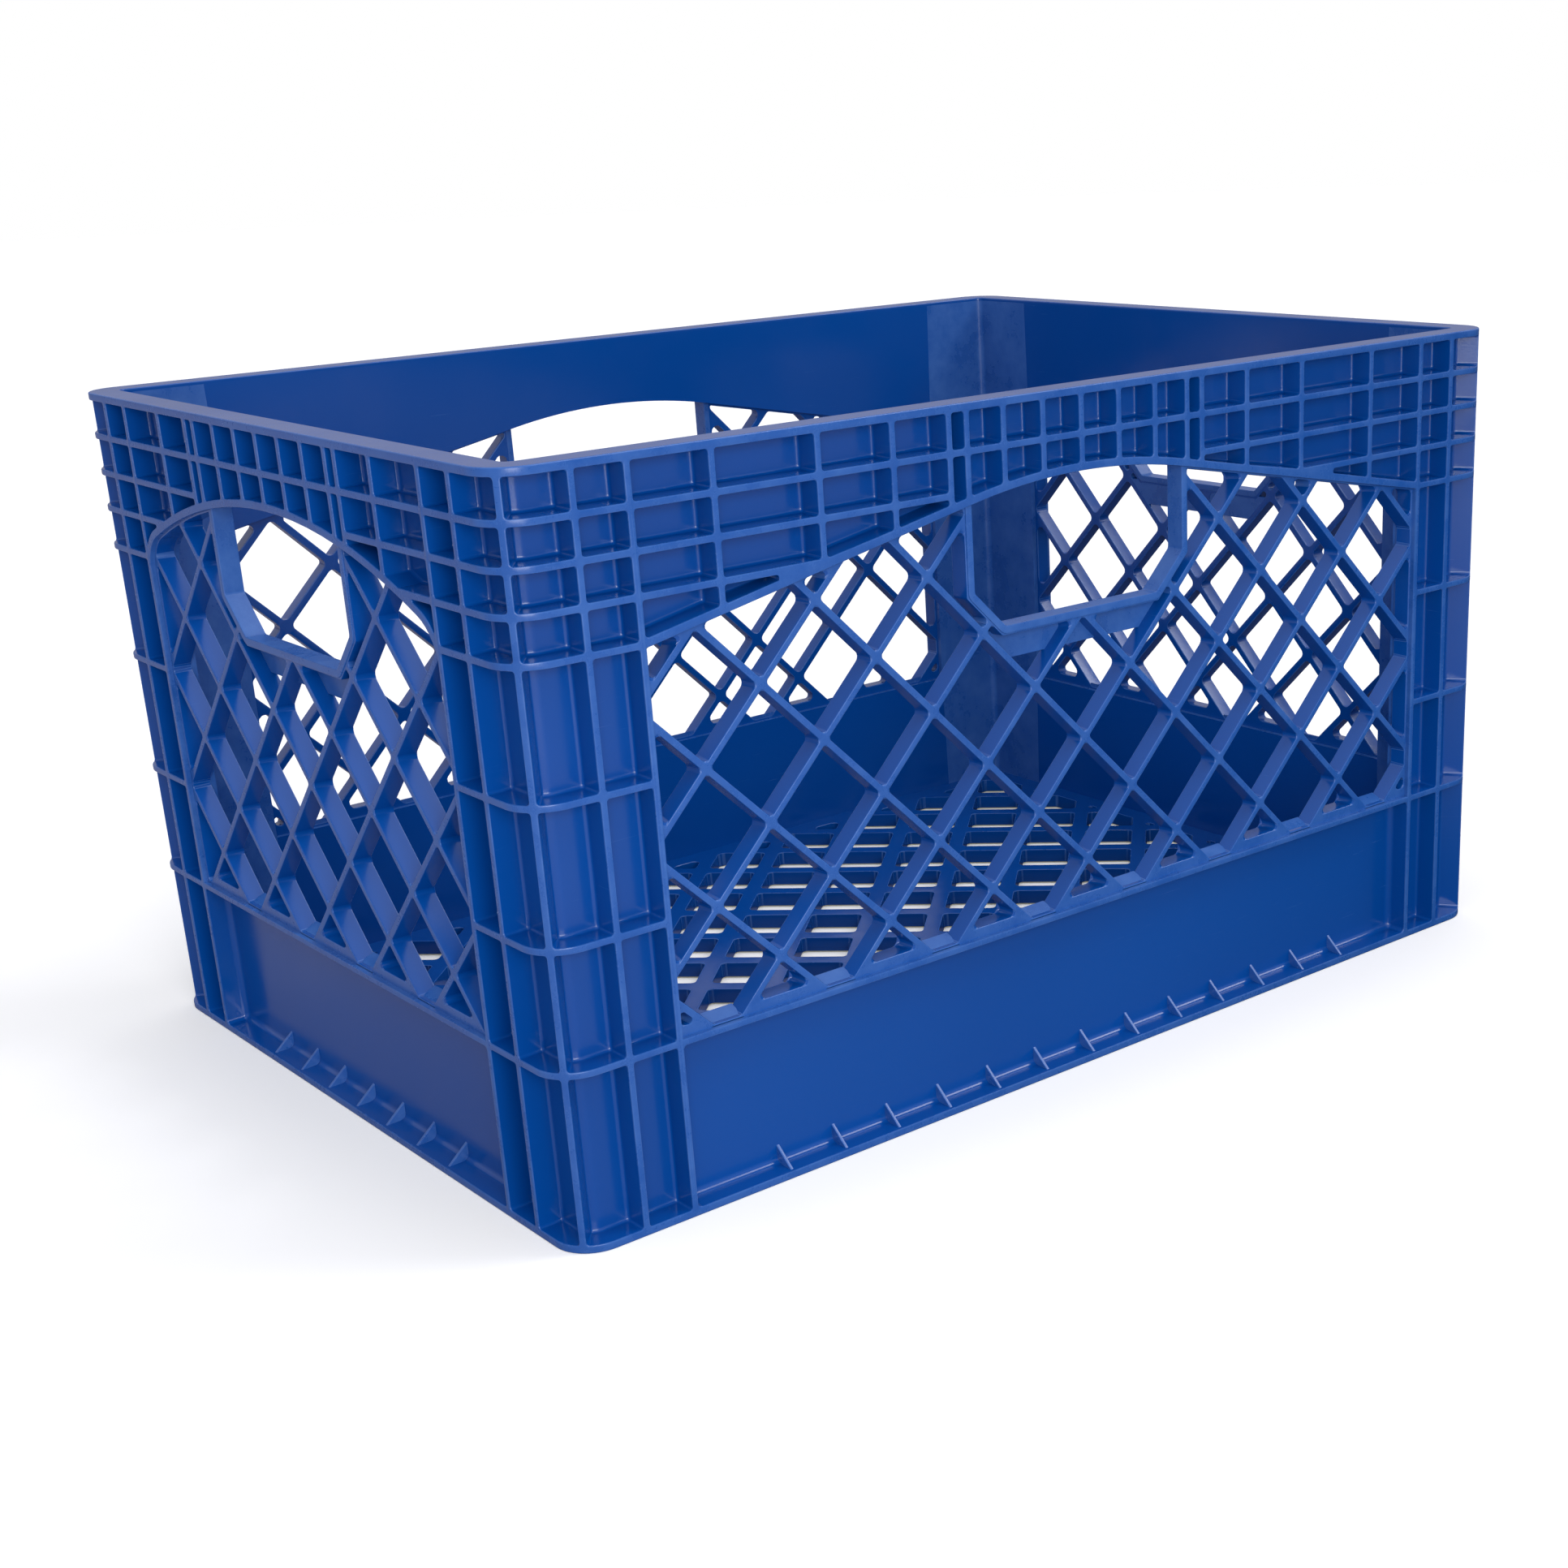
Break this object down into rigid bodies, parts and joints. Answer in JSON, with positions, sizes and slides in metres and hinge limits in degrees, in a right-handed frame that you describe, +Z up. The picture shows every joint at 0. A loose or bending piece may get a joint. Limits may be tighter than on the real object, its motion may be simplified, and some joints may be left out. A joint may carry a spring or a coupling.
{
  "type": "milk bottle crate",
  "caption": "Rectangular open-topped plastic milk crate with ribbed corner posts, arched lattice windows, a hand hole in every wall and a diagonal grid floor.",
  "frame": {"origin": "centre of the underside, on the ground", "axes": "+Z up, +X along the length, +Y along the width"},
  "size_m": [0.48, 0.338, 0.266],
  "materials": {
    "crate_plastic": "glossy moulded blue polyethylene with fine scuffs"
  },
  "bodies": {
    "root": {"rim": "crate_plastic", "base_flange": "crate_plastic", "floor_frame": "crate_plastic", "floor_grid": "crate_plastic", "post_front_left": "crate_plastic", "post_front_right": "crate_plastic", "post_back_left": "crate_plastic", "post_back_right": "crate_plastic", "band_front": "crate_plastic", "band_back": "crate_plastic", "band_left": "crate_plastic", "band_right": "crate_plastic", "lattice_front": "crate_plastic", "lattice_back": "crate_plastic", "lattice_left": "crate_plastic", "lattice_right": "crate_plastic", "handle_front": "crate_plastic", "handle_back": "crate_plastic", "handle_left": "crate_plastic", "handle_right": "crate_plastic", "skirt_front": "crate_plastic", "skirt_back": "crate_plastic", "skirt_left": "crate_plastic", "skirt_right": "crate_plastic", "gussets_front": "crate_plastic", "gussets_back": "crate_plastic", "gussets_left": "crate_plastic", "gussets_right": "crate_plastic"}
  },
  "joints": []
}
